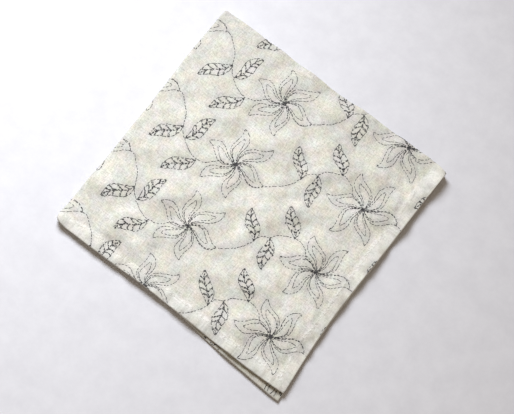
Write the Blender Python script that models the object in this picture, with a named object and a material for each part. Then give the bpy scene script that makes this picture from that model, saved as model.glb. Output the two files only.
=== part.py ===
"""Square cotton handkerchief, hemmed all round, folded in quarters and lying flat.

The cloth is one closed sheet. A first fold brings two halves together along the back edge,
and a second fold doubles that pair along the left edge, so four layers lie on each other.
The folded square has its two folds at the left (-X) and the back (+Y), and its hemmed
edges at the right (+X) and the front (-Y). All sizes are in metres.
"""
import math
from collections import namedtuple

import bmesh
import bpy
import numpy as np

# Driving dimensions
SIDE = 0.400            # side of the open handkerchief, hems included
HEM = 0.0105            # width of the turned hem
THICK = 0.0010          # thickness of the cloth
INNER_RISE = 0.0007     # height of a layer's middle above the middle of its pair
OUTER_RISE = 0.0014     # height of a pair's middle above the middle of the stack

# How far an uneven edge draws the cloth behind it along, and how tall a hem stands
EDGE_REACH = 0.035
HEM_SWELL = 0.0007
HEM_SLOPE = 0.0020

# Mesh steps: cells of the plain cloth and of half a fold's bend, a line beside each bend,
# and the lines in a hem, from its edge inwards
CLOTH_CELLS = 14
BEND_CELLS = 3
BESIDE_BEND = 0.0045
HEM_LINES = (0.0, 0.0012, 0.0055, HEM - HEM_SLOPE / 2, HEM + HEM_SLOPE / 2)

HALF = SIDE / 2
LAYERS = 4
STACK = 2 * (OUTER_RISE + INNER_RISE) + THICK

# Outline: how far each edge of the folded square bows out, at shares of its length.
# Left and right run from the front to the back, front and back from left to right.
Station = namedtuple("Station", "share out")
LEFT_FOLD = (
    Station(0.00, 0.0002),
    Station(0.35, -0.0004),
    Station(0.60, 0.0003),
    Station(0.85, 0.0016),
    Station(1.00, 0.0010),
)
BACK_FOLD = (
    Station(0.00, -0.0004),
    Station(0.25, -0.0002),
    Station(0.45, -0.0006),
    Station(0.75, 0.0003),
    Station(1.00, 0.0006),
)
RIGHT_HEM = (
    Station(0.00, -0.0006),
    Station(0.12, -0.0026),
    Station(0.28, -0.0041),
    Station(0.45, -0.0036),
    Station(0.60, -0.0024),
    Station(0.80, -0.0013),
    Station(1.00, 0.0002),
)
FRONT_HEM = (
    Station(0.00, -0.0006),
    Station(0.22, 0.0004),
    Station(0.40, -0.0004),
    Station(0.60, 0.0004),
    Station(0.88, 0.0012),
    Station(1.00, 0.0005),
)

# The under pair of layers slips out past the front hem towards its right end
SLIP_FRONT = (
    Station(0.00, 0.0000),
    Station(0.12, -0.0012),
    Station(0.50, -0.0008),
    Station(0.68, 0.0018),
    Station(0.85, 0.0050),
    Station(1.00, 0.0058),
)
# The stack's right side leans, so the lowest layer reaches a little further than the top
LEAN_RIGHT = (
    Station(0.00, 0.0004),
    Station(0.25, 0.0013),
    Station(0.55, 0.0011),
    Station(0.80, 0.0006),
    Station(1.00, 0.0000),
)

# Rounded corners: right and back are 1 on that side of the square and 0 on the other, then
# how far the corner is drawn in along x and y, and the rounding's reach
Corner = namedtuple("Corner", "right back draw_x draw_y reach")
CORNERS = (
    Corner(0, 0, 0.0010, 0.0008, 0.014),
    Corner(1, 1, 0.0002, 0.0030, 0.016),
    Corner(0, 1, 0.0003, 0.0003, 0.007),
    Corner(1, 0, 0.0003, 0.0005, 0.008),
)

# Soft swells of the stack: place from the front left corner, rise and reach
Swell = namedtuple("Swell", "x y rise reach")
SWELLS = (
    Swell(0.062, 0.138, 0.0011, 0.024),
    Swell(0.103, 0.098, 0.0007, 0.022),
    Swell(0.158, 0.062, 0.0012, 0.026),
    Swell(0.104, 0.034, 0.0006, 0.020),
    Swell(0.030, 0.152, 0.0008, 0.017),
    Swell(0.016, 0.096, 0.0009, 0.018),
    Swell(0.022, 0.040, 0.0010, 0.022),
    Swell(0.128, 0.160, 0.0008, 0.024),
    Swell(0.172, 0.120, 0.0007, 0.020),
    Swell(0.060, 0.070, 0.0006, 0.021),
    Swell(0.184, 0.186, 0.0013, 0.030),
    Swell(0.060, 0.004, 0.0009, 0.040),
)

CLOTH_COLOUR = (0.74, 0.73, 0.66, 1.0)
CLOTH_ROUGHNESS = 0.92
SHARP_EDGE = math.radians(50)


def clear_scene():
    for item in list(bpy.data.objects):
        bpy.data.objects.remove(item, do_unlink=True)


def smooth_step(value):
    share = np.clip(value, 0.0, 1.0)
    return share * share * (3.0 - 2.0 * share)


def follow(stations, share):
    """Value of a smooth curve through the stations, its slope at each taken from its neighbours."""
    places = np.array([station.share for station in stations])
    values = np.array([station.out for station in stations])
    slopes = np.gradient(values, places)
    share = np.clip(share, 0.0, 1.0)
    left = np.clip(np.searchsorted(places, share, side="right") - 1, 0, len(places) - 2)
    span = places[left + 1] - places[left]
    t = (share - places[left]) / span
    ahead = t * t * (3.0 - 2.0 * t)
    leave = t * (1.0 - t) ** 2 * span
    arrive = t * t * (t - 1.0) * span
    return (
        values[left] * (1.0 - ahead)
        + values[left + 1] * ahead
        + slopes[left] * leave
        + slopes[left + 1] * arrive
    )


def sheet_lines(rise):
    """Places of the mesh lines across one fold, from one hem over the fold to the other."""
    bend = math.pi * rise / 2
    around = np.linspace(0.0, bend, BEND_CELLS + 1)
    hem = HALF - np.array(HEM_LINES[::-1])
    plain = np.linspace(bend + BESIDE_BEND, hem[0], CLOTH_CELLS + 1)
    half = np.concatenate([around, plain[:-1], hem])
    return np.concatenate([-half[:0:-1], half])


def hairpin(along, off, rise):
    """Bend a sheet back on itself: distance in from the bend's centre, and height."""
    bend = math.pi * rise / 2
    turn = np.clip(along / rise, -math.pi / 2, math.pi / 2)
    inward = np.maximum(np.abs(along) - bend, 0.0) - (rise + off) * np.cos(turn)
    return inward, (rise + off) * np.sin(turn)


def fold_in_quarters(across_left, across_back, off):
    """Fold the flat sheet twice; x and y are measured from the front left corner."""
    from_back, pair_height = hairpin(across_back, off, INNER_RISE)
    from_left, height = hairpin(across_left, pair_height, OUTER_RISE)
    x = from_left + STACK / 2
    y = HALF - (from_back + STACK / LAYERS)
    return x, y, height + STACK / 2


def edge_pull(distance):
    return np.clip(1.0 - distance / EDGE_REACH, 0.0, 1.0) ** 2


def inward_sign(far_side):
    return -1.0 if far_side else 1.0


def lay_unevenly(x, y, z):
    """Give the folded square its bowed edges, slipped under pair and rounded corners."""
    depth = 1.0 - z / STACK
    along_x = x / HALF
    along_y = y / HALF
    gap = OUTER_RISE - INNER_RISE - THICK / 2
    under = smooth_step((STACK / 2 + gap - z) / (2 * gap))
    right = follow(RIGHT_HEM, along_y) + follow(LEAN_RIGHT, along_y) * depth
    new_x = x + edge_pull(HALF - x) * right - edge_pull(x) * follow(LEFT_FOLD, along_y)
    slip = under * (1.0 - np.clip(along_y, 0.0, 1.0)) * follow(SLIP_FRONT, along_x)
    front = edge_pull(y) * follow(FRONT_HEM, along_x) + slip
    new_y = y + edge_pull(HALF - y) * follow(BACK_FOLD, along_x) - front
    for corner in CORNERS:
        away = np.abs(x - corner.right * HALF) + np.abs(y - corner.back * HALF)
        near = np.clip(1.0 - away / corner.reach, 0.0, 1.0) ** 2
        new_x += near * corner.draw_x * inward_sign(corner.right)
        new_y += near * corner.draw_y * inward_sign(corner.back)
    return new_x, new_y


def swell_height(x, y):
    """Rise of the top layer above a flat stack: soft swells and the thicker hems."""
    rise = np.zeros_like(x)
    for swell in SWELLS:
        distance = np.hypot(x - swell.x, y - swell.y)
        rise += swell.rise * np.exp(-((distance / swell.reach) ** 2))
    from_hem = np.minimum(HALF - x, y)
    rise += HEM_SWELL * smooth_step((HEM + HEM_SLOPE / 2 - from_hem) / HEM_SLOPE)
    return rise


def cloth_points(off):
    """Points of one face of the cloth, one for each crossing of the mesh lines."""
    across_left, across_back = np.meshgrid(
        sheet_lines(OUTER_RISE), sheet_lines(INNER_RISE), indexing="ij"
    )
    x, y, z = fold_in_quarters(across_left, across_back, off)
    z_puffed = z * (1.0 + swell_height(x, y) / STACK)
    new_x, new_y = lay_unevenly(x, y, z)
    return np.stack([new_x, new_y, z_puffed], axis=-1)


def centre_on_floor(points):
    low = points.reshape(-1, 3).min(axis=0)
    high = points.reshape(-1, 3).max(axis=0)
    middle = (low + high) / 2
    return points - np.array([middle[0], middle[1], low[2]])


def add_face_grid(mesh, points):
    """Quads between the points of one face of the cloth; returns the rows of vertices."""
    rows = [[mesh.verts.new(point) for point in line] for line in points]
    for low_row, high_row in zip(rows[:-1], rows[1:]):
        for i in range(len(low_row) - 1):
            mesh.faces.new((low_row[i], low_row[i + 1], high_row[i + 1], high_row[i]))
    return rows


def rim(rows):
    """The vertices around the edge of one face, in order."""
    first = rows[0][:-1]
    last_column = [row[-1] for row in rows[:-1]]
    last = rows[-1][:0:-1]
    first_column = [row[0] for row in rows[:0:-1]]
    return first + last_column + last + first_column


def close_rim(mesh, outer_rows, inner_rows):
    outer = rim(outer_rows)
    inner = rim(inner_rows)
    for i in range(len(outer)):
        following = (i + 1) % len(outer)
        mesh.faces.new((outer[i], outer[following], inner[following], inner[i]))


def cloth_material():
    material = bpy.data.materials.new("cream_cotton")
    material.use_nodes = True
    shader = material.node_tree.nodes["Principled BSDF"]
    shader.inputs["Base Color"].default_value = CLOTH_COLOUR
    shader.inputs["Roughness"].default_value = CLOTH_ROUGHNESS
    shader.inputs["Metallic"].default_value = 0.0
    return material


def make_handkerchief():
    faces = centre_on_floor(np.stack([cloth_points(THICK / 2), cloth_points(-THICK / 2)]))
    mesh = bmesh.new()
    outer_rows = add_face_grid(mesh, faces[0])
    inner_rows = add_face_grid(mesh, faces[1])
    close_rim(mesh, outer_rows, inner_rows)
    bmesh.ops.recalc_face_normals(mesh, faces=mesh.faces)
    bmesh.ops.triangulate(mesh, faces=mesh.faces)
    data = bpy.data.meshes.new("handkerchief")
    mesh.to_mesh(data)
    mesh.free()
    data.shade_smooth()
    data.set_sharp_from_angle(angle=SHARP_EDGE)
    data.materials.append(cloth_material())
    cloth = bpy.data.objects.new("handkerchief", data)
    bpy.context.collection.objects.link(cloth)


clear_scene()
make_handkerchief()
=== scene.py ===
"""Looks of a cream cotton handkerchief, line-stitched in black and folded in quarters.

A place on the open cloth is (across_left, across_back): how far it lies from the fold along
the left edge and from the fold along the back edge. The embroidery chart is drawn on the
folded square instead, in millimetres from its front left corner. All else is in metres.
"""
import math
from collections import namedtuple

import bpy
import numpy as np
from mathutils import Matrix, Vector
from mathutils.kdtree import KDTree


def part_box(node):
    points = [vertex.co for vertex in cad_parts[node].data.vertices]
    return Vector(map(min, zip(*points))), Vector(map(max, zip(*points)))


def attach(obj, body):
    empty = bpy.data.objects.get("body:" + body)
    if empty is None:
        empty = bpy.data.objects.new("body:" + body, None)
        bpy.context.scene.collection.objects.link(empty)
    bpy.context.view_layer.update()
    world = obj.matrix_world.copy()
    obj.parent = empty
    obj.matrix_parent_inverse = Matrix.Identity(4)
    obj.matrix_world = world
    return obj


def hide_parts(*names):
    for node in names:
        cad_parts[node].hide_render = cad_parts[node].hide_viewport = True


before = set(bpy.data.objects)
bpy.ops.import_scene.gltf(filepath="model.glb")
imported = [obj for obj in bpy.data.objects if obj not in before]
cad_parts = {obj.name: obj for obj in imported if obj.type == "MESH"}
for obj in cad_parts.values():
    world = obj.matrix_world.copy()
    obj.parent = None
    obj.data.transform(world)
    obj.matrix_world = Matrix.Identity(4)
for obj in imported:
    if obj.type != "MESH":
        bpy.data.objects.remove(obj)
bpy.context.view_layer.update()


def table(kind, *rows):
    """Rows of one kind, from their plain values."""
    return tuple(kind(*row) for row in rows)


# The folded cloth, as the model has it: its open side and hem, its thickness, how high each
# fold's bend rises over its middle, and how far in from an edge the edge's bow is felt
SIDE = 0.400
HEM = 0.0105
SOLID_THICK = 0.0010
INNER_RISE = 0.0007
OUTER_RISE = 0.0014
EDGE_REACH = 0.035
HALF = SIDE / 2
LAYERS = 4
STACK = 2 * (OUTER_RISE + INNER_RISE) + SOLID_THICK

# The real cloth is thinner than the model's sheet, and its hem has three layers. Its edge is
# rounded down to the rim, and it lies on the threads under it.
CLOTH_THICK = 0.0005
HEM_THICK = 0.0010
EDGE_ROUND = 0.0006
RIM_THICK = 0.00008
UNDER_THREADS = 0.00034

# The hem's fullness and how softly it ends, the width of its own tone and how softly that ends,
# how much narrower the front hem is, and the hem's seam by distance from the edge and half width
HEM_SWELL = 0.00045
HEM_SLOPE = 0.0044
HEM_TONE = 0.0109
HEM_TONE_SLOPE = 0.0017
FRONT_NARROWER = 0.0017
HEM_SEAM = 0.0092
SEAM_REACH = 0.0017

# How far the hem's inner line strays, and its waves by length per radian and phase
HEM_WANDER = 0.0014
Wave = namedtuple("Wave", "length phase")
HEM_WAVES = (Wave(0.0071, 0.0), Wave(0.0117, 1.9))

# Outline: how far each edge of the folded square bows out, in pairs of share of its length and
# metres. Left and right run from the front to the back, front and back from left to right.
LEFT_FOLD = ((0.00, 0.0002), (0.35, -0.0004), (0.60, 0.0003), (0.85, 0.0016), (1.00, 0.0010))
BACK_FOLD = ((0.00, -0.0004), (0.25, -0.0002), (0.45, -0.0006), (0.75, 0.0003), (1.00, 0.0006))
RIGHT_HEM = (
    (0.00, -0.0006), (0.12, -0.0026), (0.28, -0.0041), (0.45, -0.0036), (0.60, -0.0024),
    (0.80, -0.0013), (1.00, 0.0002),
)
FRONT_HEM = (
    (0.00, 0.0004), (0.22, 0.0004), (0.40, -0.0004), (0.60, 0.0004), (0.88, 0.0012),
    (1.00, 0.0005),
)

# The under pair of layers slips out past the front hem, and the stack's right side leans out
SLIP_FRONT = (
    (0.00, 0.0000), (0.12, -0.0012), (0.50, -0.0008), (0.61, 0.0008), (0.68, 0.0021),
    (0.75, 0.0028), (0.85, 0.0038), (1.00, 0.0063),
)
LEAN_RIGHT = ((0.00, 0.0004), (0.25, 0.0013), (0.55, 0.0011), (0.80, 0.0006), (1.00, 0.0000))

# Rounded corners: right and back are 1 on that side of the square and 0 on the other, then
# how far the corner is drawn in along x and y, and the rounding's reach
Corner = namedtuple("Corner", "right back draw_x draw_y reach")
CORNERS = table(
    Corner,
    (0, 0, 0.0014, 0.0021, 0.010), (1, 1, 0.0002, 0.0030, 0.016), (0, 1, 0.0003, 0.0003, 0.007),
    (1, 0, 0.0003, 0.0005, 0.008),
)

# Soft swells of the stack: place from its front left corner, rise and reach
Swell = namedtuple("Swell", "x y rise reach")
SWELLS = table(
    Swell,
    (0.062, 0.138, 0.0011, 0.024), (0.103, 0.098, 0.0007, 0.022), (0.158, 0.062, 0.0012, 0.026),
    (0.104, 0.034, 0.0006, 0.020), (0.030, 0.152, 0.0008, 0.017), (0.016, 0.096, 0.0009, 0.018),
    (0.022, 0.040, 0.0010, 0.022), (0.128, 0.160, 0.0008, 0.024), (0.172, 0.120, 0.0007, 0.020),
    (0.060, 0.070, 0.0006, 0.021), (0.184, 0.186, 0.0013, 0.030), (0.060, 0.004, 0.0009, 0.040),
)

# Soft hollows and ridges of the top layers, shallower than the swells
SOFT_SPOTS = table(
    Swell,
    (0.088, 0.126, 0.0011, 0.017), (0.050, 0.126, -0.0007, 0.015), (0.186, 0.052, 0.0010, 0.017),
    (0.152, 0.032, 0.0005, 0.016), (0.197, 0.153, 0.0011, 0.019), (0.199, 0.112, 0.0008, 0.018),
    (0.199, 0.012, -0.0007, 0.016), (0.148, 0.005, 0.0007, 0.014), (0.142, 0.178, -0.0006, 0.016),
    (0.042, 0.168, 0.0007, 0.014), (0.010, 0.180, -0.0005, 0.014), (0.036, 0.026, 0.0006, 0.013),
    (0.004, 0.110, -0.0005, 0.013), (0.112, 0.068, 0.0006, 0.017), (0.084, 0.030, -0.0005, 0.016),
)

# Fine unevenness: how many ripples cross, their shortest and longest wave, and their slope
RIPPLES = 80
RIPPLE_LENGTHS = (0.006, 0.042)
RIPPLE_SLOPE = 0.031

# Puckers across a hem: place along it, half width and rise, and how far in they reach
Pucker = namedtuple("Pucker", "place width rise")
FRONT_PUCKERS = table(
    Pucker,
    (0.0060, 0.0040, 0.00020), (0.0160, 0.0038, 0.00022), (0.0345, 0.0034, 0.00048),
    (0.0530, 0.0034, 0.00050), (0.0655, 0.0026, 0.00034), (0.0950, 0.0024, 0.00052),
    (0.1030, 0.0018, 0.00062), (0.1090, 0.0020, 0.00076), (0.1155, 0.0016, 0.00046),
    (0.1220, 0.0018, 0.00051), (0.1295, 0.0026, 0.00097), (0.1440, 0.0020, 0.00046),
    (0.1525, 0.0030, 0.00076), (0.1640, 0.0020, 0.00043), (0.1725, 0.0022, 0.00068),
    (0.1800, 0.0020, 0.00076), (0.1865, 0.0018, 0.00049), (0.1930, 0.0022, 0.00049),
)
RIGHT_PUCKERS = table(
    Pucker,
    (0.0100, 0.0030, 0.00026), (0.0200, 0.0034, 0.00034), (0.0350, 0.0030, 0.00044),
    (0.0460, 0.0024, 0.00036), (0.0565, 0.0026, 0.00020), (0.0660, 0.0028, 0.00044),
    (0.0745, 0.0022, 0.00034), (0.0800, 0.0020, 0.00026), (0.0930, 0.0040, 0.00060),
    (0.1070, 0.0024, 0.00036), (0.1245, 0.0028, 0.00038), (0.1345, 0.0026, 0.00034),
    (0.1500, 0.0034, 0.00056), (0.1610, 0.0022, 0.00022), (0.1680, 0.0024, 0.00028),
    (0.1830, 0.0030, 0.00036), (0.1930, 0.0024, 0.00022),
)
PUCKER_REACH = 0.0145

# The cloth dips along each line of stitches, and its colour darkens, for thread showing through
# and painted shade, with the number of their ends and middles within reach, up to this count
STITCH_DIP = 0.00016
DIP_REACH = 0.0016
DENSE_REACH = 0.0022
DENSE_COUNT = 5.0

# Mesh lines of the cloth, fine in the half that lies on top and coarser under it: cells of half
# a fold's bend and of the plain cloth, and the lines in a hem, from its edge inwards
BEND_CELLS = 7
FINE_CELLS = 127
COARSE_CELLS = 44
FINE_HEM = (
    0, 0.0001, 0.0003, 0.0006, 0.0011, 0.0020, 0.0033, 0.0048, 0.0063, 0.0076,
    0.0085, 0.0093, 0.0101, 0.0109, 0.0117, 0.0126, 0.0137,
)
COARSE_HEM = (0, 0.0002, 0.0006, 0.0020, 0.0050, 0.0080, 0.0092, 0.0106, 0.0123)

SEED = 400
chance = np.random.default_rng(SEED)


def smooth_step(value):
    share = np.clip(value, 0.0, 1.0)
    return share * share * (3.0 - 2.0 * share)


def between(t, start, end, leaving, arriving):
    """Smooth way from start to end as t goes from 0 to 1, with its slope at each of them."""
    ahead = smooth_step(t)
    straight = start * (1.0 - ahead) + end * ahead
    return straight + leaving * (t * (1.0 - t) ** 2) + arriving * (t * t * (t - 1.0))


def follow(pairs, share):
    """Value of a smooth curve through the pairs, its slope at each taken from its neighbours."""
    places, values = np.array(pairs).T
    slopes = np.gradient(values, places)
    share = np.clip(share, 0.0, 1.0)
    left = np.clip(np.searchsorted(places, share, side="right") - 1, 0, len(places) - 2)
    span = places[left + 1] - places[left]
    t = (share - places[left]) / span
    leaving = slopes[left] * span
    arriving = slopes[left + 1] * span
    return between(t, values[left], values[left + 1], leaving, arriving)


def hairpin(along, off, rise):
    """Bend a sheet back on itself: distance in from the bend's centre, and height."""
    bend = math.pi * rise / 2
    turn = np.clip(along / rise, -math.pi / 2, math.pi / 2)
    inward = np.maximum(np.abs(along) - bend, 0.0) - (rise + off) * np.cos(turn)
    return inward, (rise + off) * np.sin(turn)


def fold_in_quarters(across_left, across_back, off):
    """Fold the flat sheet twice; x and y are measured from the front left corner."""
    from_back, pair_height = hairpin(across_back, off, INNER_RISE)
    from_left, height = hairpin(across_left, pair_height, OUTER_RISE)
    x = from_left + STACK / 2
    y = HALF - (from_back + STACK / LAYERS)
    return x, y, height + STACK / 2


def edge_pull(distance):
    return np.clip(1.0 - distance / EDGE_REACH, 0.0, 1.0) ** 2


def inward_sign(far_side):
    return -1.0 if far_side else 1.0


def lay_unevenly(x, y, z):
    """Give the folded square its bowed edges, slipped under pair and rounded corners."""
    depth = 1.0 - z / STACK
    along_x = x / HALF
    along_y = y / HALF
    gap = OUTER_RISE - INNER_RISE - SOLID_THICK / 2
    under = smooth_step((STACK / 2 + gap - z) / (2 * gap))
    right = follow(RIGHT_HEM, along_y) + follow(LEAN_RIGHT, along_y) * depth
    new_x = x + edge_pull(HALF - x) * right - edge_pull(x) * follow(LEFT_FOLD, along_y)
    slip = under * (1.0 - np.clip(along_y, 0.0, 1.0)) * follow(SLIP_FRONT, along_x)
    front = edge_pull(y) * follow(FRONT_HEM, along_x) + slip
    new_y = y + edge_pull(HALF - y) * follow(BACK_FOLD, along_x) - front
    for corner in CORNERS:
        away = np.abs(x - corner.right * HALF) + np.abs(y - corner.back * HALF)
        near = np.clip(1.0 - away / corner.reach, 0.0, 1.0) ** 2
        new_x += near * corner.draw_x * inward_sign(corner.right)
        new_y += near * corner.draw_y * inward_sign(corner.back)
    return new_x, new_y


def draw_ripples():
    """Direction, wavelength and phase of each ripple; the longer ones stand higher."""
    headings = chance.uniform(0.0, math.tau, RIPPLES)
    lengths = chance.uniform(*RIPPLE_LENGTHS, RIPPLES)
    phases = chance.uniform(0.0, math.tau, RIPPLES)
    return headings, lengths, phases


ripples = draw_ripples()


def hem_wander(along):
    """How far a hem's inner line strays from straight."""
    waves = [np.sin(along / wave.length + wave.phase) for wave in HEM_WAVES]
    return HEM_WANDER * sum(waves) / len(waves)


def into_hem(from_right, from_front):
    """Distance from the edge as the hem has it: its inner line strays, in front it is narrower."""
    across_right = from_right + hem_wander(from_front)
    across_front = from_front + FRONT_NARROWER + hem_wander(HALF - from_right)
    return np.minimum(across_right, across_front)


def ripple_height(x, y):
    rise = np.zeros_like(x)
    for heading, length, phase in zip(*ripples):
        wave = math.tau / length
        along = x * math.cos(heading) + y * math.sin(heading)
        rise += RIPPLE_SLOPE / wave * np.sin(wave * along + phase)
    return rise


def pucker_height(along, inward, puckers):
    """Short ridges across a hem, strongest at its stitching."""
    rise = np.zeros_like(along)
    for pucker in puckers:
        rise += pucker.rise * np.exp(-(((along - pucker.place) / pucker.width) ** 2))
    fade = smooth_step((PUCKER_REACH - inward) / PUCKER_REACH)
    return rise * fade


def hem_share(inward):
    """How much of the hem's fullness a place has, from 1 at the edge to 0 in the plain cloth."""
    return smooth_step((HEM + HEM_SLOPE / 2 - inward) / HEM_SLOPE)


def swell_height(x, y):
    """Rise of the top layer above a flat stack."""
    rise = ripple_height(x, y)
    for swell in (*SWELLS, *SOFT_SPOTS):
        distance = np.hypot(x - swell.x, y - swell.y)
        rise += swell.rise * np.exp(-((distance / swell.reach) ** 2))
    rise += pucker_height(x, y, FRONT_PUCKERS)
    rise += pucker_height(y, HALF - x, RIGHT_PUCKERS)
    return rise + HEM_SWELL * hem_share(into_hem(HALF - x, y))


def fold_away(across_left, across_back, off):
    """Places of the cloth as it lies, off its middle to the outer side by a distance."""
    x, y, z = fold_in_quarters(across_left, across_back, off)
    z_puffed = z * (1.0 + swell_height(x, y) / STACK)
    new_x, new_y = lay_unevenly(x, y, z)
    return np.stack([new_x, new_y, z_puffed], axis=-1)


def sheet_lines(rise):
    """Places of the mesh lines across one fold: coarse below zero, fine above it."""
    bend = math.pi * rise / 2
    halves = []
    for cells, hem_lines in ((COARSE_CELLS, COARSE_HEM), (FINE_CELLS, FINE_HEM)):
        around = np.linspace(0.0, bend, BEND_CELLS + 1)
        hem = HALF - np.array(hem_lines[::-1])
        plain = np.linspace(bend, hem[0], cells + 1)
        halves.append(np.concatenate([around, plain[1:-1], hem]))
    coarse, fine = halves
    return np.concatenate([-coarse[:0:-1], fine])


LEFT_LINES = sheet_lines(OUTER_RISE)
BACK_LINES = sheet_lines(INNER_RISE)
GRID_LEFT, GRID_BACK = np.meshgrid(LEFT_LINES, BACK_LINES, indexing="ij")


def model_shift():
    """How far the folded square is moved to lie where the model's solid lies."""
    faces = np.stack([fold_away(GRID_LEFT, GRID_BACK, side * SOLID_THICK / 2) for side in (-1, 1)])
    low = faces.reshape(-1, 3).min(axis=0)
    high = faces.reshape(-1, 3).max(axis=0)
    solid_low, solid_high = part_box("handkerchief")
    shift = (np.array(solid_low) + np.array(solid_high) - low - high) / 2
    return np.array([shift[0], shift[1], UNDER_THREADS])


SHIFT = model_shift()


def from_edge(across_left, across_back):
    return HALF - np.maximum(np.abs(across_left), np.abs(across_back))


def from_uneven_edge(across_left, across_back):
    return into_hem(HALF - np.abs(across_left), HALF - np.abs(across_back))


def thickness(across_left, across_back):
    """Thickness of the cloth: plain, thicker in the hem and round at the rim."""
    hem = hem_share(from_uneven_edge(across_left, across_back))
    thick = CLOTH_THICK + (HEM_THICK - CLOTH_THICK) * hem
    round_in = np.clip(1.0 - from_edge(across_left, across_back) / EDGE_ROUND, 0.0, 1.0)
    return np.maximum(thick * np.sqrt(1.0 - round_in**2), RIM_THICK)


# Embroidery chart, in millimetres from the front left corner of the folded square. One repeat
# has a flower, a mirrored one, leaves and vine, and it is worked in rows up each column.
MM = 0.001
REPEAT_STEP = np.array([0.0, 57.3])
ROWS = range(-4, 8)
COLUMNS = (
    np.array([-366.0, -32.0]),
    np.array([-183.0, -16.0]),
    np.array([0.0, 0.0]),
    np.array([182.3, 15.2]),
)
FLOWER = np.array([76.0, 109.4])
MIRRORED_FLOWER = np.array([167.7, 138.9])

# Petals by heading, length and the widest reach of each side, then the sides as shares of the
# length along and of that reach out. The hooked side bends the tip over, and where the vine
# joins a petal that side is fuller.
Petal = namedtuple("Petal", "heading length full hook")
PETALS = table(
    Petal,
    (112.5, 27.6, 6.5, 5.3), (57.9, 29.1, 6.8, 4.6), (-1.0, 25.2, 6.7, 5.7),
    (-69.4, 26.0, 6.7, 5.2), (-123.3, 27.0, 5.4, 5.7), (174.1, 25.8, 6.8, 5.7),
)
MIRRORED_PETALS = table(
    Petal,
    (70.6, 28.1, 6.3, 4.8), (128.5, 26.4, 7.0, 5.6), (193.2, 28.4, 7.4, 5.4),
    (-112.3, 29.0, 7.5, 5.0), (-53.2, 26.4, 7.0, 4.5), (11.6, 26.5, 6.9, 5.9),
)
VINE_PETALS = (PETALS[2], MIRRORED_PETALS[5])
Edge = namedtuple("Edge", "share out")
FULL_SIDE = table(
    Edge,
    (0.00, 0.00), (0.05, 0.22), (0.10, 0.43), (0.18, 0.69), (0.29, 0.94), (0.39, 1.00),
    (0.49, 0.92), (0.57, 0.76), (0.65, 0.57), (0.74, 0.32), (0.83, 0.14), (0.92, 0.04),
    (1.00, 0.00),
)
HOOKED_SIDE = table(
    Edge,
    (0.00, 0.00), (0.12, 0.00), (0.25, 0.10), (0.33, 0.25), (0.41, 0.45), (0.50, 0.73),
    (0.59, 0.93), (0.68, 1.00), (0.78, 0.91), (0.88, 0.64), (0.95, 0.36), (1.00, 0.00),
)
VINE_SIDE = table(
    Edge,
    (0.00, 0.00), (0.12, 0.12), (0.26, 0.33), (0.40, 0.62), (0.52, 0.88), (0.65, 1.00),
    (0.78, 0.94), (0.88, 0.68), (0.95, 0.38), (1.00, 0.00),
)

# The echo line inside a petal: where it ends and how wide it is, as shares of the petal's, how
# blunt its tip is and its number of points; and how far out the vine's second line runs
ECHO_TIP = 0.74
ECHO_WIDTH = 0.60
ECHO_POWER = 5
ECHO_POINTS = 9
SECOND_LINE = 0.5

# The heart of a flower: single stitches that cross near its centre, the least and most that
# each starts and ends away from it, and how they stray in place and in heading
HEART_STITCHES = 17
HEART_START = (-0.2, 2.0)
HEART_END = (1.9, 5.4)
HEART_STRAY = 1.0
HEART_TURN = 0.2

# Two short lines run from the heart into each petal: their places along it, and how far out
# they lie as a share of the petal's sides
RAY_SHARES = (0.08, 0.16, 0.27, 0.42)
RAY_OUT = 0.84

# A short stitch across each petal's tip, as share along and millimetres out
PETAL_TIP = (Edge(0.93, 0.5), Edge(1.01, -0.2))

# Leaves by base and tip; hand is 1 where the side that bulges early lies on the left. The
# sides and the midrib are shares along the leaf and millimetres out.
Leaf = namedtuple("Leaf", "base_x base_y tip_x tip_y hand")
LEAVES = table(
    Leaf,
    (119.0, 130.0, 104.0, 149.0, -1), (127.3, 138.5, 135.8, 115.7, 1),
    (141.3, 149.7, 125.5, 167.1, -1), (29.0, 109.0, 13.9, 88.5, 1),
    (36.0, 103.0, 44.8, 127.3, -1), (51.0, 94.5, 34.7, 74.2, 1),
)
LEAF_EARLY_SIDE = table(
    Edge,
    (0.00, 0.0), (0.09, 2.9), (0.20, 4.3), (0.35, 5.2), (0.52, 4.3), (0.70, 2.2), (0.85, 1.1),
    (1.00, 0.0),
)
LEAF_LATE_SIDE = table(
    Edge,
    (0.00, 0.0), (0.10, -1.0), (0.27, -2.7), (0.45, -4.8), (0.63, -5.4), (0.79, -4.1),
    (0.92, -2.0), (1.00, 0.0),
)
LEAF_RIB = table(
    Edge,
    (0.00, 0.0), (0.20, 1.2), (0.42, 0.3), (0.62, -1.2), (0.80, -1.3), (1.00, 0.0),
)

# Passes of the midrib beside each other, and the lines of the knot at a leaf's foot
RIB_LINES = (-0.32, 0.0, 0.28)
LEAF_KNOT = (
    (Edge(-0.03, -0.7), Edge(0.05, 0.6)),
    (Edge(-0.03, 0.6), Edge(0.06, -0.5)),
    (Edge(0.00, 0.7), Edge(0.05, -0.8)),
)

# Veins on each side of the midrib, as shares of the leaf: where the first one starts, the step
# to the next, how they stray, bend and rise. Then their passes in millimetres along the leaf,
# and how far out they reach as a share of its sides.
VEINS = 4
VEIN_START = 0.16
VEIN_STEP = 0.18
VEIN_STRAY = 0.036
VEIN_BEND = 0.025
VEIN_RISE = 0.11
VEIN_PASSES = (0.0, 0.32, 0.64, 0.92)
VEIN_REACH = 1.02

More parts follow.
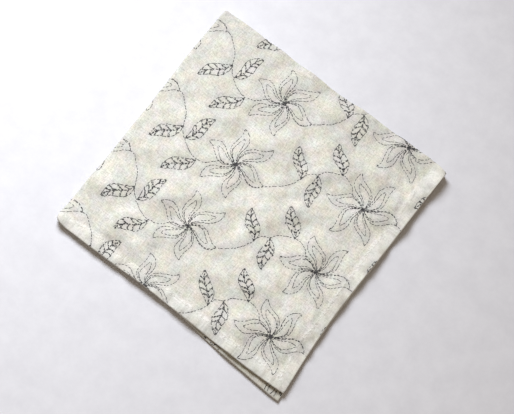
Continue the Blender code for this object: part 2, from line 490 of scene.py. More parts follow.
# The vine's two stretches, by places from the tip of one flower to the next
VINE_TO_MIRRORED = (
    (102, 109), (107, 112.8), (113.3, 119), (118, 127), (120, 133.7), (122.5, 136.7),
    (127, 139.3), (130.3, 144), (137, 148), (141, 149.7), (145, 150), (152, 147.3), (155, 143.3),
    (163, 141.2),
)
VINE_FROM_MIRRORED = (
    (10.5, 128.3), (14.5, 128), (20, 123), (25, 118), (28.5, 110.5), (32.5, 104.5), (38.5, 100),
    (45.5, 96.3), (50, 95.5), (58, 97.5), (62.7, 102.5), (66, 104.6),
)

# How the worked rows lie: height above the front hem as a share of the square's side, and
# millimetres to the right and up from the chart's even rows
WORKED = (
    (-0.10, 2.8, 2.4),
    (0.00, 2.4, 2.1),
    (0.05, 2.1, 1.8),
    (0.10, 1.6, 1.5),
    (0.16, 0.9, 1.2),
    (0.27, 0.1, 0.8),
    (0.42, 0.0, -0.3),
    (0.70, 0.0, -0.1),
    (0.84, 0.0, 1.1),
    (1.00, 0.0, 0.3),
    (2.00, 0.8, -10.6),
)

# By the front hem the rows left of the middle lie higher still: pairs of height and millimetres
# up, and the share of it in pairs of place from left to right and share
FRONT_LEFT_UP = ((-0.100, 4.6), (-0.026, 3.9), (0.020, 2.0), (0.080, 1.3), (0.160, 0.0))
FRONT_LEFT_SHARE = (
    (5, 0.0), (28, 0.9), (43, 0.9), (49, 0.0), (60, 0.1), (68, 0.5), (75, 1.0), (92, 1.0),
    (110, 0.0),
)

# By the left fold the rows come further over it: pairs of place from left to right and
# millimetres to the right, and the share of it in pairs of height and share
BY_FOLD_RIGHT = ((0, 1.5), (6, 1.1), (13, 0.0))
BY_FOLD_SHARE = ((0.12, 0.0), (0.30, 1.0))

# Thread in metres. Stitches in millimetres: pitch from one to the next, length of the mark that
# each makes and how far its ends stray, then how thick it is beside the plain thread
Thread = namedtuple("Thread", "width height")
BLACK_THREAD = Thread(0.00040, 0.00029)
HEM_THREAD = Thread(0.00024, 0.00012)
Stitch = namedtuple("Stitch", "pitch mark stray girth")
PETAL_STITCH = Stitch(2.45, 2.34, 0.17, 0.98)
VINE_STITCH = Stitch(2.4, 2.2, 0.17, 1.12)
LEAF_STITCH = Stitch(2.5, 2.28, 0.20, 1.0)
LEAF_LUMP = Stitch(4.0, 1.8, 0.30, 1.00)
VEIN_STITCH = Stitch(2.1, 1.86, 0.26, 0.86)
KNOT_STITCH = Stitch(2.2, 2.2, 0.20, 1.0)
RAY_STITCH = Stitch(1.9, 1.7, 0.18, 0.95)
HEART_STITCH = Stitch(9.0, 8.8, 0.05, 0.88)
HEM_STITCH = Stitch(2.6, 2.2, 0.05, 1.0)

# Shares by which pitch and mark stray, and how much thinner or thicker a stitch comes out
PITCH_STRAY = 0.14
MARK_STRAY = 0.22
GIRTHS = (0.76, 1.22)

# Stitches end this far inside the cloth's edge, and those cut shorter than this are left out
EDGE_MARGIN = 0.0003
SHORTEST_STITCH = 0.0004

# Steps of a smooth line from one given point to the next
CURVE_STEPS = 8

# Rings of a stitch: share of its length, size, and lift over the cloth in thread heights
Ring = namedtuple("Ring", "share size lift")
RINGS = (
    Ring(0.00, 0.55, -0.45),
    Ring(0.10, 1.14, 0.22),
    Ring(0.60, 0.90, 0.38),
    Ring(1.00, 0.50, -0.40),
)
RING_SIDES = 4


def smooth_line(points):
    """Points of a smooth curve through the given ones."""
    points = np.asarray(points, float)
    before = np.vstack([2 * points[0] - points[1], points[:-1]])
    after = np.vstack([points[1:], 2 * points[-1] - points[-2]])
    slopes = (after - before) / 2
    t = np.arange(CURVE_STEPS)[:, None] / CURVE_STEPS
    line = []
    for i in range(len(points) - 1):
        line.append(between(t, points[i], points[i + 1], slopes[i], slopes[i + 1]))
    line.append(points[-1:])
    return np.concatenate(line)


def stitches_along(line, stitch):
    """Straight stitches along a line, each with its own small error: an array of start and end."""
    steps = np.linalg.norm(np.diff(line, axis=0), axis=1)
    travel = np.concatenate([[0.0], np.cumsum(steps)])
    count = max(1, round(travel[-1] / stitch.pitch))
    pitch = travel[-1] / count
    mark = stitch.mark * pitch / stitch.pitch
    middles = (np.arange(count) + 0.5) * pitch
    middles += chance.uniform(-PITCH_STRAY, PITCH_STRAY, count) * pitch
    lengths = mark * chance.uniform(1 - MARK_STRAY, 1 + MARK_STRAY, count)
    ends = []
    for side in (-0.5, 0.5):
        at = middles + side * lengths
        ends.append(np.stack([np.interp(at, travel, line[:, axis]) for axis in (0, 1)], axis=1))
    ends = np.stack(ends, axis=1)
    return ends + chance.normal(0.0, stitch.stray, ends.shape)


def beside(start, heading, length, edges, hand):
    """Points set out from a middle line by (share, out) rows."""
    along = np.array([math.cos(heading), math.sin(heading)])
    out = np.array([-along[1], along[0]]) * hand
    return [start + along * edge.share * length + out * edge.out for edge in edges]


def value_at(pairs, place):
    """Value at a place, straight from one pair of place and value to the next."""
    places, values = zip(*pairs)
    return np.interp(place, places, values)


def petal_runs(centre, petal, hand):
    """A petal's outline and the echo line inside it, and a second line where the vine joins."""
    heading = math.radians(petal.heading)
    second_side = VINE_SIDE if petal in VINE_PETALS else HOOKED_SIDE
    sides = []
    for side, reach in ((FULL_SIDE, petal.full), (second_side, -petal.hook)):
        sides.append([Edge(edge.share, edge.out * reach) for edge in side])
    full, hooked = sides
    if petal in VINE_PETALS:
        sides.append([Edge(edge.share, edge.out + SECOND_LINE) for edge in hooked])
    shares = np.linspace(0.0, ECHO_TIP, ECHO_POINTS)
    middle = (value_at(full, shares) + value_at(hooked, shares)) / 2
    half = (value_at(full, shares) - value_at(hooked, shares)) / 2
    half *= ECHO_WIDTH * (1 - (shares / ECHO_TIP) ** ECHO_POWER)
    for sign in (-1, 1):
        sides.append([Edge(*row) for row in zip(shares, middle + sign * half)])
    runs = [(side, PETAL_STITCH) for side in sides]
    for side in (full, hooked):
        ray = [Edge(share, value_at(side, share) * RAY_OUT) for share in RAY_SHARES]
        runs.append((ray, RAY_STITCH))
    runs.append((PETAL_TIP, RAY_STITCH))
    return [
        (smooth_line(beside(centre, heading, petal.length, edges, hand)), stitch)
        for edges, stitch in runs
    ]


def heart_runs(centre):
    """Single stitches that cross near a flower's centre."""
    runs = []
    for i in range(HEART_STITCHES):
        heading = math.tau * i / HEART_STITCHES + chance.uniform(-HEART_TURN, HEART_TURN)
        along = np.array([math.cos(heading), math.sin(heading)])
        middle = centre + chance.normal(0.0, HEART_STRAY, 2)
        start = middle + along * chance.uniform(*HEART_START)
        end = middle + along * chance.uniform(*HEART_END)
        runs.append((np.array([start, end]), HEART_STITCH))
    return runs


def leaf_runs(leaf, shift):
    """A leaf's outline, the passes of its midrib and veins, and the knot at its foot.

    A second, sparser round thickens the outline in places.
    """
    base = np.array([leaf.base_x, leaf.base_y]) + shift
    across = np.array([leaf.tip_x - leaf.base_x, leaf.tip_y - leaf.base_y])
    length = np.linalg.norm(across)
    heading = math.atan2(across[1], across[0])
    lines = []
    for apart in RIB_LINES:
        lines.append([Edge(edge.share, edge.out + apart) for edge in LEAF_RIB])
    for side in (LEAF_EARLY_SIDE, LEAF_LATE_SIDE):
        for i in range(VEINS):
            low = VEIN_START + VEIN_STEP * i + chance.uniform(-VEIN_STRAY, VEIN_STRAY)
            high = low + VEIN_RISE
            root = value_at(LEAF_RIB, low)
            for apart in VEIN_PASSES:
                start = Edge(low + apart / 2 / length, root)
                end = Edge(high + apart / length, value_at(side, high) * VEIN_REACH)
                bend = Edge((start.share + end.share) / 2 + VEIN_BEND, (start.out + end.out) / 2)
                lines.append([start, bend, end])
    runs = [(line, VEIN_STITCH) for line in lines]
    for side in (LEAF_EARLY_SIDE, LEAF_LATE_SIDE):
        runs.append((side, LEAF_STITCH))
        runs.append((side, LEAF_LUMP))
    runs += [(line, KNOT_STITCH) for line in LEAF_KNOT]
    return [
        (smooth_line(beside(base, heading, length, edges, leaf.hand)), stitch)
        for edges, stitch in runs
    ]


def vine_runs(marks, shift):
    return [(smooth_line(np.array(marks) + shift), VINE_STITCH)]


def repeat_runs(shift):
    """Every line of one repeat of the chart."""
    runs = vine_runs(VINE_TO_MIRRORED, shift) + vine_runs(VINE_FROM_MIRRORED, shift)
    for petal in PETALS:
        runs += petal_runs(FLOWER + shift, petal, 1)
    for petal in MIRRORED_PETALS:
        runs += petal_runs(MIRRORED_FLOWER + shift, petal, -1)
    for leaf in LEAVES:
        runs += leaf_runs(leaf, shift)
    for centre in (FLOWER, MIRRORED_FLOWER):
        runs += heart_runs(centre + shift)
    return runs


def settle(ends):
    """Carry the chart's places to where the worked cloth has them, in millimetres."""
    heights, rights, ups = np.array(WORKED).T
    height = ends[..., 1] * MM / HALF
    right = np.interp(height, heights, rights)
    up = np.interp(height, heights, ups)
    right += value_at(BY_FOLD_RIGHT, ends[..., 0]) * value_at(BY_FOLD_SHARE, height)
    up += value_at(FRONT_LEFT_UP, height) * value_at(FRONT_LEFT_SHARE, ends[..., 0])
    return ends + np.stack([right, up], axis=-1)


def undo_bow(across_left, across_back):
    """Places in the cloth for places in the folded square, whose hemmed edges are bowed."""
    along_x = np.clip(np.abs(across_left) / HALF, 0.0, 1.0)
    along_y = 1.0 - np.clip(np.abs(across_back) / HALF, 0.0, 1.0)
    right = edge_pull(HALF - np.abs(across_left)) * follow(RIGHT_HEM, along_y)
    front = edge_pull(HALF - np.abs(across_back)) * follow(FRONT_HEM, along_x)
    left_place = across_left - np.sign(across_left) * right
    back_place = across_back - np.sign(across_back) * front
    return np.stack([left_place, back_place], axis=-1)


def cut_at_edges(ends):
    """Stitches cut off at the cloth's edges, and which of them are long enough to be kept."""
    limit = HALF - EDGE_MARGIN
    start = ends[:, 0]
    along = ends[:, 1] - start
    meets = np.stack([(-limit - start) / along, (limit - start) / along])
    enter = np.maximum(meets.min(axis=0).max(axis=1), 0.0)
    leave = np.minimum(meets.max(axis=0).min(axis=1), 1.0)
    left = (leave - enter) * np.linalg.norm(along, axis=1) > SHORTEST_STITCH
    cut = np.stack([start + along * enter[:, None], start + along * leave[:, None]], axis=1)
    return cut, left


def embroidery():
    """All black stitches as (across_left, across_back) ends, and the girth of each."""
    worked = []
    girths = []
    for column in COLUMNS:
        for row in ROWS:
            for line, stitch in repeat_runs(column + REPEAT_STEP * row):
                stitches = stitches_along(line, stitch)
                worked.append(stitches)
                girths.append(stitch.girth * chance.uniform(*GIRTHS, len(stitches)))
    ends = settle(np.concatenate(worked)) * MM
    ends, left = cut_at_edges(undo_bow(ends[..., 0], HALF - ends[..., 1]))
    return ends[left], np.concatenate(girths)[left]


def hem_seam():
    """Stitches of the seam that holds the hem down, along the four sides."""
    right = (HALF - HEM_SEAM) / MM
    front = right + FRONT_NARROWER / MM
    corners = [(-right, -front), (right, -front), (right, front), (-right, front)]
    sides = []
    for i in range(len(corners)):
        side = np.array([corners[i], corners[(i + 1) % len(corners)]])
        sides.append(stitches_along(side, HEM_STITCH))
    return np.concatenate(sides) * MM


black_stitches, black_girths = embroidery()
hem_stitches = hem_seam()


def plant_tree():
    """All ends and middles of the black stitches, to look up what lies near a place."""
    places = black_stitches.reshape(-1, 2)
    middles = black_stitches.mean(axis=1)
    points = np.concatenate([places, middles])
    tree = KDTree(len(points))
    for i, point in enumerate(points):
        tree.insert((point[0], point[1], 0.0), i)
    tree.balance()
    return tree


stitch_tree = plant_tree()
crossings = [(left, back, 0.0) for left, back in zip(GRID_LEFT.ravel(), GRID_BACK.ravel())]


def dip_of_grid():
    """How far the cloth dips at each crossing of its mesh lines, from the nearest stitch."""
    distance = np.array([stitch_tree.find(crossing)[2] for crossing in crossings])
    return (-STITCH_DIP * np.exp(-((distance / DIP_REACH) ** 2))).reshape(GRID_LEFT.shape)


DIPS = dip_of_grid()


def dense_stitching():
    """How crowded the stitches are at each crossing of the mesh lines, from 0 to 1."""
    near = [len(stitch_tree.find_range(crossing, DENSE_REACH)) for crossing in crossings]
    return np.minimum(np.array(near) / DENSE_COUNT, 1.0)


def dip_at(across_left, across_back):
    """The dip between the mesh lines, read from the four crossings around a place."""
    i = np.clip(np.searchsorted(LEFT_LINES, across_left) - 1, 0, len(LEFT_LINES) - 2)
    j = np.clip(np.searchsorted(BACK_LINES, across_back) - 1, 0, len(BACK_LINES) - 2)
    s = (across_left - LEFT_LINES[i]) / (LEFT_LINES[i + 1] - LEFT_LINES[i])
    t = (across_back - BACK_LINES[j]) / (BACK_LINES[j + 1] - BACK_LINES[j])
    near = DIPS[i, j] * (1 - s) + DIPS[i + 1, j] * s
    far = DIPS[i, j + 1] * (1 - s) + DIPS[i + 1, j + 1] * s
    return near * (1 - t) + far * t


def lay(across_left, across_back, off):
    """Places in the model's frame, with the dip along the stitches."""
    return fold_away(across_left, across_back, off + dip_at(across_left, across_back)) + SHIFT


def piece_from(name, points, faces, material):
    mesh = bpy.data.meshes.new(name)
    mesh.from_pydata(points.reshape(-1, 3).tolist(), [], faces)
    mesh.validate()
    mesh.shade_smooth()
    mesh.materials.append(material)
    piece = bpy.data.objects.new(name, mesh)
    bpy.context.collection.objects.link(piece)
    return piece


def grid_faces(rows, columns, first):
    """Quads of a grid of points, facing the cloth's outer side."""
    index = first + np.arange(rows * columns).reshape(rows, columns)
    quads = [index[:-1, :-1], index[:-1, 1:], index[1:, 1:], index[1:, :-1]]
    return np.stack(quads, axis=-1).reshape(-1, 4)


def rim_indices(rows, columns):
    """The points round the rim of the grid, in turn."""
    index = np.arange(rows * columns).reshape(rows, columns)
    return np.concatenate([index[0, :-1], index[:-1, -1], index[-1, :0:-1], index[:0:-1, 0]])


def make_cloth(material):
    rows, columns = GRID_LEFT.shape
    half = thickness(GRID_LEFT, GRID_BACK) / 2
    outer = lay(GRID_LEFT, GRID_BACK, half)
    inner = lay(GRID_LEFT, GRID_BACK, -half)
    count = rows * columns
    outer_faces = grid_faces(rows, columns, 0)
    inner_faces = grid_faces(rows, columns, count)[:, ::-1]
    rim = rim_indices(rows, columns)
    following = np.roll(rim, -1)
    rim_faces = np.stack([following, rim, rim + count, following + count], axis=-1)
    faces = np.concatenate([outer_faces, inner_faces, rim_faces]).tolist()
    cloth = piece_from("cloth", np.stack([outer, inner]), faces, material)
    flat = np.stack([GRID_LEFT, GRID_BACK, np.zeros_like(GRID_LEFT)], axis=-1).reshape(-1, 3)
    attribute = cloth.data.attributes.new("flat_place", "FLOAT_VECTOR", "POINT")
    attribute.data.foreach_set("vector", np.concatenate([flat, flat]).ravel())
    edge = from_uneven_edge(GRID_LEFT, GRID_BACK).ravel()
    hem = smooth_step((HEM_TONE + HEM_TONE_SLOPE / 2 - edge) / HEM_TONE_SLOPE)
    seam = np.exp(-(((edge - HEM_SEAM) / SEAM_REACH) ** 2))
    shares = {"hem_share": hem, "seam_share": seam, "stitched_share": dense_stitching()}
    for name, share in shares.items():
        attribute = cloth.data.attributes.new(name, "FLOAT", "POINT")
        attribute.data.foreach_set("value", np.concatenate([share, share]))
    return cloth


def make_stitches(name, ends, girths, thread, material):
    """A short tapered thread for each stitch, its two ends going down into the cloth."""
    start = ends[:, 0]
    along = ends[:, 1] - ends[:, 0]
    side = np.stack([-along[:, 1], along[:, 0]], axis=1)
    side /= np.linalg.norm(side, axis=1, keepdims=True)
    angles = math.tau * np.arange(RING_SIDES) / RING_SIDES
    lateral = np.cos(angles) * thread.width / 2
    upward = np.sin(angles) * thread.height / 2
    girths = girths[:, None]
    rings = []
    for ring in RINGS:
        centre = start + along * ring.share
        flat = centre[:, None] + side[:, None] * (lateral * girths * ring.size)[..., None]
        middle = thickness(centre[:, 0], centre[:, 1]) / 2 + ring.lift * thread.height
        off = middle[:, None] + upward * girths * ring.size
        rings.append(lay(flat[..., 0], flat[..., 1], off))
    points = np.stack(rings, axis=1)
    corners = np.arange(RING_SIDES)
    following = np.roll(corners, -1)
    faces = []
    for i in range(len(RINGS) - 1):
        low = i * RING_SIDES
        high = low + RING_SIDES
        quads = [low + corners, high + corners, high + following, low + following]
        faces += np.stack(quads, axis=1).tolist()
    last_ring = (len(RINGS) - 1) * RING_SIDES
    faces.append(corners.tolist())
    faces.append((last_ring + corners[::-1]).tolist())
    stride = len(RINGS) * RING_SIDES
    all_faces = []
    for i in range(len(ends)):
        all_faces += [[stride * i + point for point in face] for face in faces]
    return piece_from(name, points, all_faces, material)


def grey(value):
    return (value, value, value, 1.0)


# Colours of the plain cloth: its clouds from dark to light, then tones laid over them
WHITE = grey(1.0)
BLACK = grey(0.0)
CLOTH_DARK = (0.868, 0.857, 0.790, 1.0)
CLOTH_LIGHT = (0.985, 0.963, 0.892, 1.0)
SLUB_DARK = (0.72, 0.72, 0.71, 1.0)
GRAIN_DARK = grey(0.84)
CLOTH_COOL = (0.972, 0.982, 0.998, 1.0)
CLOTH_WARM = (1.0, 0.985, 0.91, 1.0)
CLOTH_ROSY = (1.0, 0.955, 0.965, 1.0)
CLOTH_GREEN = (0.960, 1.0, 0.960, 1.0)

# Painted shade towards the left fold and the back fold, a painted shadow just inside the hem,
# and painted shade on the layers that lie under
LEFT_FOLD_PAINTED_SHADE = grey(0.905)
BACK_FOLD_PAINTED_SHADE = grey(0.93)
BESIDE_HEM_PAINTED_SHADOW = grey(0.955)
UNDER_PAINTED_SHADE = (0.88, 0.865, 0.83, 1.0)

# Colours of the hem, painted shade of its puckers and of its rounded rim, a painted highlight on
# its seam, and the cloth between dense stitches, darkened by thread showing through and painted
# shade
HEM_LIGHT = (1.0, 0.985, 0.915, 1.0)
HEM_PUCKER_SHADE = (0.835, 0.832, 0.828, 1.0)
HEM_RIM_SHADE = grey(0.965)
FRONT_RIM_SHADE = grey(0.90)
SEAM_PAINTED_HIGHLIGHT = (0.96, 0.95, 0.90, 1.0)
STITCHED_SHOW_THROUGH_AND_SHADE = (0.55, 0.54, 0.515, 1.0)

# Colours of the threads and of the floor, each from plain to worn or light
THREAD_BLACK = (0.032, 0.031, 0.034, 1.0)
THREAD_WORN = (0.105, 0.100, 0.097, 1.0)
CREAM_THREAD = (0.80, 0.78, 0.70, 1.0)
CREAM_WORN = (0.92, 0.90, 0.83, 1.0)
FLOOR_COLOUR = (0.748, 0.742, 0.765, 1.0)
FLOOR_LIGHT = (0.802, 0.797, 0.817, 1.0)

# Noises by scale, detail and roughness, some of them stretched along a side of the open cloth
Noise = namedtuple("Noise", "scale detail roughness stretch", defaults=(None,))
CLOUDS = Noise(52.0, 6.0, 0.68)
SLUBS_ACROSS = Noise(1.0, 3.0, 0.6, (200.0, 1000.0, 1.0))
SLUBS_ALONG = Noise(1.0, 3.0, 0.6, (1000.0, 200.0, 1.0))
GRAIN = Noise(900.0, 1.0, 0.5)
PATCHES = Noise(95.0, 2.0, 0.6)
TINTS = Noise(130.0, 2.0, 0.6)
# Noises for the painted shade of the hem's puckers
PUCKER_SHADE_RIGHT = Noise(1.0, 3.0, 0.65, (50.0, 150.0, 1.0))
PUCKER_SHADE_FRONT = Noise(1.0, 3.0, 0.65, (210.0, 40.0, 1.0))
SEAM_BUMPS = Noise(480.0, 2.0, 0.6)
SEAM_STRETCHES = Noise(85.0, 2.0, 0.5)
THREAD_FUZZ = Noise(900.0, 3.0, 0.6)
THREAD_PLY = Noise(5200.0, 1.0, 0.5)
FLOOR_CLOUDS = Noise(60.0, 6.0, 0.7)

# Ramps over those noises, and over the way from a fold to the edge it faces
CLOUD_TONES = ((0.40, CLOTH_DARK), (0.62, CLOTH_LIGHT))
SLUB_TONES = ((0.35, SLUB_DARK), (0.575, WHITE))
GRAIN_TONES = ((0.34, GRAIN_DARK), (0.58, WHITE))
PATCH_TONES = ((0.38, CLOTH_COOL), (0.62, CLOTH_WARM))
TINT_TONES = ((0.36, CLOTH_ROSY), (0.64, CLOTH_GREEN))
# The fold, beside-hem, pucker and rim ramps below lay painted shade on the cloth
LEFT_FOLD_TONES = ((0.0, LEFT_FOLD_PAINTED_SHADE), (0.80, WHITE))
BACK_FOLD_TONES = ((0.0, BACK_FOLD_PAINTED_SHADE), (0.40, WHITE))
BESIDE_HEM_SHADOW_TONES = ((0.90, WHITE), (0.94, BESIDE_HEM_PAINTED_SHADOW))
PUCKER_SHADE_TONES = ((0.38, HEM_PUCKER_SHADE), (0.58, WHITE))
RIM_SHADE_TONES = ((0.965, WHITE), (0.994, HEM_RIM_SHADE))
FRONT_RIM_SHADE_TONES = ((0.965, WHITE), (0.994, FRONT_RIM_SHADE))
SEAM_STRETCH_TONES = ((0.48, BLACK), (0.60, WHITE))
SEAM_BUMP_TONES = ((0.48, BLACK), (0.64, WHITE))
FLOOR_TONES = ((0.36, FLOOR_COLOUR), (0.64, FLOOR_LIGHT))
THREAD_STOPS = (0.40, 0.72)

# How much of the hem's light colour shows, and of the dense stitching's dark one: thread showing
# through and painted shade
HEM_LIGHT_SHARE = 0.36
STITCHED_SHARE = 0.30

# Relief too fine for the mesh, by depth: weave, slubs, gathers at the seam and ply of a thread
WEAVE_REPEAT = 0.00072
WEAVE_DEPTH = 0.00016
WEAVE_STRENGTH = 0.8
SLUB_DEPTH = 0.00024
GATHER_DEPTH = 0.0012
PLY_DEPTH = 0.00008

# Plain values on each shader
COTTON_FINISH = {
    "Roughness": 0.93,
    "Specular IOR Level": 0.25,
    "Sheen Weight": 0.10,
    "Sheen Roughness": 0.55,
}
BLACK_FINISH = {"Roughness": 0.6, "Sheen Weight": 0.10}
CREAM_FINISH = {"Roughness": 0.8, "Sheen Weight": 0.10}
FLOOR_FINISH = {"Roughness": 0.85, "Specular IOR Level": 0.2}

# Sockets of the Mix node when it mixes colours: factor, first and second, and its result
MIX_INPUTS = (0, 6, 7)
MIX_RESULT = 2

# A wave texture of scale 1 turns by this many radians over one metre
WAVE_TURN = 20.0


class Nodes:
    """Short way to add nodes to one material and link them."""

    def __init__(self, name):
        self.material = bpy.data.materials.new(name)
        self.material.use_nodes = True
        self.tree = self.material.node_tree
        self.shader = self.tree.nodes["Principled BSDF"]

    def add(self, kind, **settings):
        node = self.tree.nodes.new(kind)
        for setting, value in settings.items():
            setattr(node, setting, value)
        return node

    def feed(self, socket, value):
        """Link another node's output to a socket, or set a plain value on it."""
        if isinstance(value, bpy.types.NodeSocket):
            self.tree.links.new(value, socket)
        else:
            socket.default_value = value

    def attribute(self, name, kind):
        return self.add("ShaderNodeAttribute", attribute_name=name).outputs[kind]

    def object_place(self):
        return self.add("ShaderNodeTexCoord").outputs["Object"]

    def noise(self, vector, noise):
        if noise.stretch:
            mapping = self.add("ShaderNodeMapping")
            self.feed(mapping.inputs["Scale"], noise.stretch)
            self.feed(mapping.inputs["Vector"], vector)
            vector = mapping.outputs["Vector"]
        node = self.add("ShaderNodeTexNoise")
        self.feed(node.inputs["Scale"], noise.scale)
        self.feed(node.inputs["Detail"], noise.detail)
        self.feed(node.inputs["Roughness"], noise.roughness)
        self.feed(node.inputs["Vector"], vector)
        return node.outputs["Fac"]

    def wave(self, vector, repeat, direction):
        node = self.add("ShaderNodeTexWave", bands_direction=direction)
        self.feed(node.inputs["Scale"], math.tau / WAVE_TURN / repeat)
        self.feed(node.inputs["Vector"], vector)
        return node.outputs["Fac"]

    def math(self, operation, *values):
        node = self.add("ShaderNodeMath", operation=operation)
        for socket, value in zip(node.inputs, values):
            self.feed(socket, value)
        return node.outputs[0]

    def centred(self, value):
        """A value from 0 to 1, moved to lie around 0."""
        return self.math("SUBTRACT", value, 0.5)

    def along(self, vector, axis):
        node = self.add("ShaderNodeSeparateXYZ")
        self.feed(node.inputs["Vector"], vector)
        return node.outputs[axis]

    def ramp(self, factor, stops):
        node = self.add("ShaderNodeValToRGB")
        for element, (position, colour) in zip(node.color_ramp.elements, stops):
            element.position = position
            element.color = colour
        self.feed(node.inputs["Fac"], factor)
        return node.outputs["Color"]

    def mix(self, factor, first, second, blend="MIX"):
        node = self.add("ShaderNodeMix", data_type="RGBA", blend_type=blend)
        for index, value in zip(MIX_INPUTS, (factor, first, second)):
            self.feed(node.inputs[index], value)
        return node.outputs[MIX_RESULT]

    def lay_over(self, tone, factor, stops):
        """A tone multiplied by a ramp."""
        return self.mix(1.0, tone, self.ramp(factor, stops), "MULTIPLY")

    def bump(self, height, depth, strength=1.0, under=None):
        node = self.add("ShaderNodeBump")
        self.feed(node.inputs["Distance"], depth)
        self.feed(node.inputs["Strength"], strength)
        self.feed(node.inputs["Height"], height)
        if under is not None:
            self.feed(node.inputs["Normal"], under)
        return node.outputs["Normal"]

    def finished(self, finish):
        """The material, with plain values set on its shader."""
        for name, value in finish.items():
            self.feed(self.shader.inputs[name], value)
        return self.material


def cotton():
    n = Nodes("cream_cotton")
    flat_place = n.attribute("flat_place", "Vector")
    hem = n.attribute("hem_share", "Fac")
    seam = n.attribute("seam_share", "Fac")
    stitched = n.attribute("stitched_share", "Fac")
    from_left = n.math("ABSOLUTE", n.along(flat_place, "X"))
    from_back = n.math("ABSOLUTE", n.along(flat_place, "Y"))
    left_share = n.math("DIVIDE", from_left, HALF)
    back_share = n.math("DIVIDE", from_back, HALF)
    edge_share = n.math("DIVIDE", n.math("MAXIMUM", from_left, from_back), HALF)

    # Tone of the plain cloth
    slubs_both = n.math("ADD", n.noise(flat_place, SLUBS_ACROSS), n.noise(flat_place, SLUBS_ALONG))
    slubs = n.math("MULTIPLY", slubs_both, 0.5)
    plain = n.ramp(n.noise(flat_place, CLOUDS), CLOUD_TONES)
    plain = n.lay_over(plain, slubs, SLUB_TONES)
    plain = n.lay_over(plain, n.noise(flat_place, GRAIN), GRAIN_TONES)
    plain = n.lay_over(plain, n.noise(flat_place, PATCHES), PATCH_TONES)
    plain = n.lay_over(plain, n.noise(flat_place, TINTS), TINT_TONES)
    # Painted shade towards the left fold and the back fold
    tone = n.lay_over(plain, left_share, LEFT_FOLD_TONES)
    tone = n.lay_over(tone, back_share, BACK_FOLD_TONES)
    # Painted shadow on the cloth just inside the hem's step
    tone = n.lay_over(tone, edge_share, BESIDE_HEM_SHADOW_TONES)

    # Tone of the hem, with painted shade of its puckers and at its rim, and painted shade on all
    # that lies under
    on_right = n.math("GREATER_THAN", from_left, from_back)
    # Painted shade of the puckers, in bands across the hem
    pucker_shade_front = n.noise(flat_place, PUCKER_SHADE_FRONT)
    pucker_shade = n.mix(on_right, pucker_shade_front, n.noise(flat_place, PUCKER_SHADE_RIGHT))
    hem_tone = n.mix(HEM_LIGHT_SHARE, plain, HEM_LIGHT)
    hem_tone = n.lay_over(hem_tone, pucker_shade, PUCKER_SHADE_TONES)
    # Painted shade at the hem's rounded rim, deeper along the front edge
    hem_tone = n.lay_over(hem_tone, edge_share, RIM_SHADE_TONES)
    hem_tone = n.lay_over(hem_tone, back_share, FRONT_RIM_SHADE_TONES)
    tone = n.mix(hem, tone, hem_tone)
    # Painted shade on every layer that lies under the second fold
    lies_under = n.math("LESS_THAN", n.along(flat_place, "X"), 0.0)
    tone = n.mix(lies_under, tone, n.mix(1.0, tone, UNDER_PAINTED_SHADE, "MULTIPLY"))

    # Painted highlights in stretches of the seam, and cloth between dense stitches darkened by
    # thread showing through and painted shade
    bumps = n.noise(flat_place, SEAM_BUMPS)
    stretches = n.ramp(n.noise(flat_place, SEAM_STRETCHES), SEAM_STRETCH_TONES)
    # Painted highlights where the seam's bumps stand up
    seam_highlights = n.math("MULTIPLY", seam, n.ramp(bumps, SEAM_BUMP_TONES))
    tone = n.mix(n.math("MULTIPLY", seam_highlights, stretches), tone, SEAM_PAINTED_HIGHLIGHT)
    # Cloth between dense stitches darkened: thread showing through and painted shade
    tone = n.mix(n.math("MULTIPLY", stitched, STITCHED_SHARE), tone, STITCHED_SHOW_THROUGH_AND_SHADE)
    n.feed(n.shader.inputs["Base Color"], tone)

    # Relief
    warp = n.wave(flat_place, WEAVE_REPEAT, "X")
    weft = n.wave(flat_place, WEAVE_REPEAT, "Y")
    weave = n.math("MULTIPLY", n.centred(warp), n.centred(weft))
    gathers = n.math("MULTIPLY", n.centred(bumps), seam)
    relief = n.bump(gathers, GATHER_DEPTH)
    relief = n.bump(slubs, SLUB_DEPTH, under=relief)
    relief = n.bump(weave, WEAVE_DEPTH, WEAVE_STRENGTH, relief)
    n.feed(n.shader.inputs["Normal"], relief)
    return n.finished(COTTON_FINISH)


def thread_material(name, plain, worn, finish):
    n = Nodes(name)
    object_place = n.object_place()
    fuzz = n.noise(object_place, THREAD_FUZZ)
    n.feed(n.shader.inputs["Base Color"], n.ramp(fuzz, zip(THREAD_STOPS, (plain, worn))))
    ply = n.noise(object_place, THREAD_PLY)
    n.feed(n.shader.inputs["Normal"], n.bump(ply, PLY_DEPTH))
    return n.finished(finish)


def floor_material():
    n = Nodes("pale_floor")
    clouds = n.noise(n.object_place(), FLOOR_CLOUDS)
    n.feed(n.shader.inputs["Base Color"], n.ramp(clouds, FLOOR_TONES))
    return n.finished(FLOOR_FINISH)


# Camera, from the photograph's perspective of the folded square; the focal length is in
# picture pixels
CAMERA_PLACE = Vector((0.0629, -0.2053, 0.8283))
CAMERA_AIM = Vector((0.0071, -0.0020, 0.0))
PICTURE_UP = Vector((-0.599, 0.767, 0.229))
SENSOR = 36.0
FOCAL_PIXELS = 1200.0
PICTURE_WIDTH = 514.0


def make_camera():
    data = bpy.data.cameras.new("camera")
    data.sensor_width = SENSOR
    data.lens = FOCAL_PIXELS / PICTURE_WIDTH * SENSOR
    camera = bpy.data.objects.new("camera", data)
    bpy.context.collection.objects.link(camera)
    forward = (CAMERA_AIM - CAMERA_PLACE).normalized()
    right = forward.cross(PICTURE_UP).normalized()
    up = right.cross(forward)
    turn = Matrix((right, up, -forward)).transposed().to_4x4()
    camera.matrix_world = Matrix.Translation(CAMERA_PLACE) @ turn
    bpy.context.scene.camera = camera


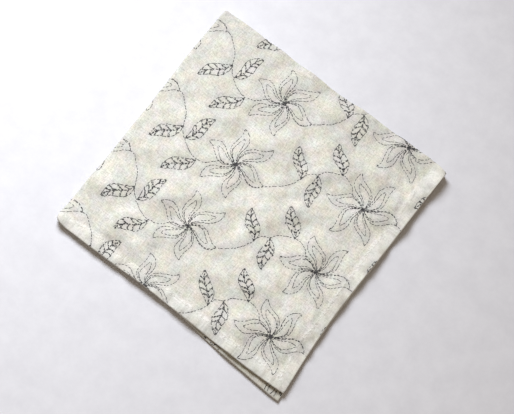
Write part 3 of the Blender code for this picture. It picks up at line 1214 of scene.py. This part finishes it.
# Soft light of a window at the back left, and the room's even light
WINDOW_PLACE = Vector((-0.377, 0.240, 0.65))
WINDOW_AIM = Vector((-0.04, -1.10, 0.0))
WINDOW_SIDE = 0.36
WINDOW_POWER = 9.9
WINDOW_COLOUR = (0.885, 0.925, 1.0)
ROOM_COLOUR = (1.0, 0.83, 0.65, 1.0)
ROOM_STRENGTH = 0.25

FLOOR_REACH = 3.0


def make_window():
    data = bpy.data.lights.new("window", "AREA")
    data.shape = "SQUARE"
    data.size = WINDOW_SIDE
    data.energy = WINDOW_POWER
    data.color = WINDOW_COLOUR
    light = bpy.data.objects.new("window", data)
    bpy.context.collection.objects.link(light)
    light.location = WINDOW_PLACE
    light.rotation_mode = "QUATERNION"
    light.rotation_quaternion = (WINDOW_AIM - WINDOW_PLACE).to_track_quat("-Z", "Y")


def make_stage():
    signs = ((-1, -1), (1, -1), (1, 1), (-1, 1))
    corners = [(right * FLOOR_REACH, back * FLOOR_REACH, 0) for right, back in signs]
    mesh = bpy.data.meshes.new("floor")
    mesh.from_pydata(corners, [], [(0, 1, 2, 3)])
    mesh.materials.append(floor_material())
    floor = bpy.data.objects.new("floor", mesh)
    bpy.context.collection.objects.link(floor)
    make_window()
    world = bpy.data.worlds.new("room")
    world.use_nodes = True
    background = world.node_tree.nodes["Background"]
    background.inputs["Color"].default_value = ROOM_COLOUR
    background.inputs["Strength"].default_value = ROOM_STRENGTH
    bpy.context.scene.world = world
    bpy.context.scene.view_settings.view_transform = "Standard"


# The stitching of each layer, and which side of the two folds it lies on
QUARTERS = (
    ("stitching_top", 1, 1),
    ("stitching_second", 1, -1),
    ("stitching_third", -1, -1),
    ("stitching_bottom", -1, 1),
)


def make_handkerchief():
    cloth = make_cloth(cotton())
    black = thread_material("black_thread", THREAD_BLACK, THREAD_WORN, BLACK_FINISH)
    cream = thread_material("cream_thread", CREAM_THREAD, CREAM_WORN, CREAM_FINISH)
    middle = black_stitches.mean(axis=1)
    threads = []
    for name, left_sign, back_sign in QUARTERS:
        here = (middle[:, 0] * left_sign > 0) & (middle[:, 1] * back_sign > 0)
        stitches = black_stitches[here]
        threads.append(make_stitches(name, stitches, black_girths[here], BLACK_THREAD, black))
    even = np.ones(len(hem_stitches))
    threads.append(make_stitches("hem_seam", hem_stitches, even, HEM_THREAD, cream))
    for piece in (cloth, *threads):
        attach(piece, "root")
    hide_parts("handkerchief")


make_camera()
make_stage()
make_handkerchief()
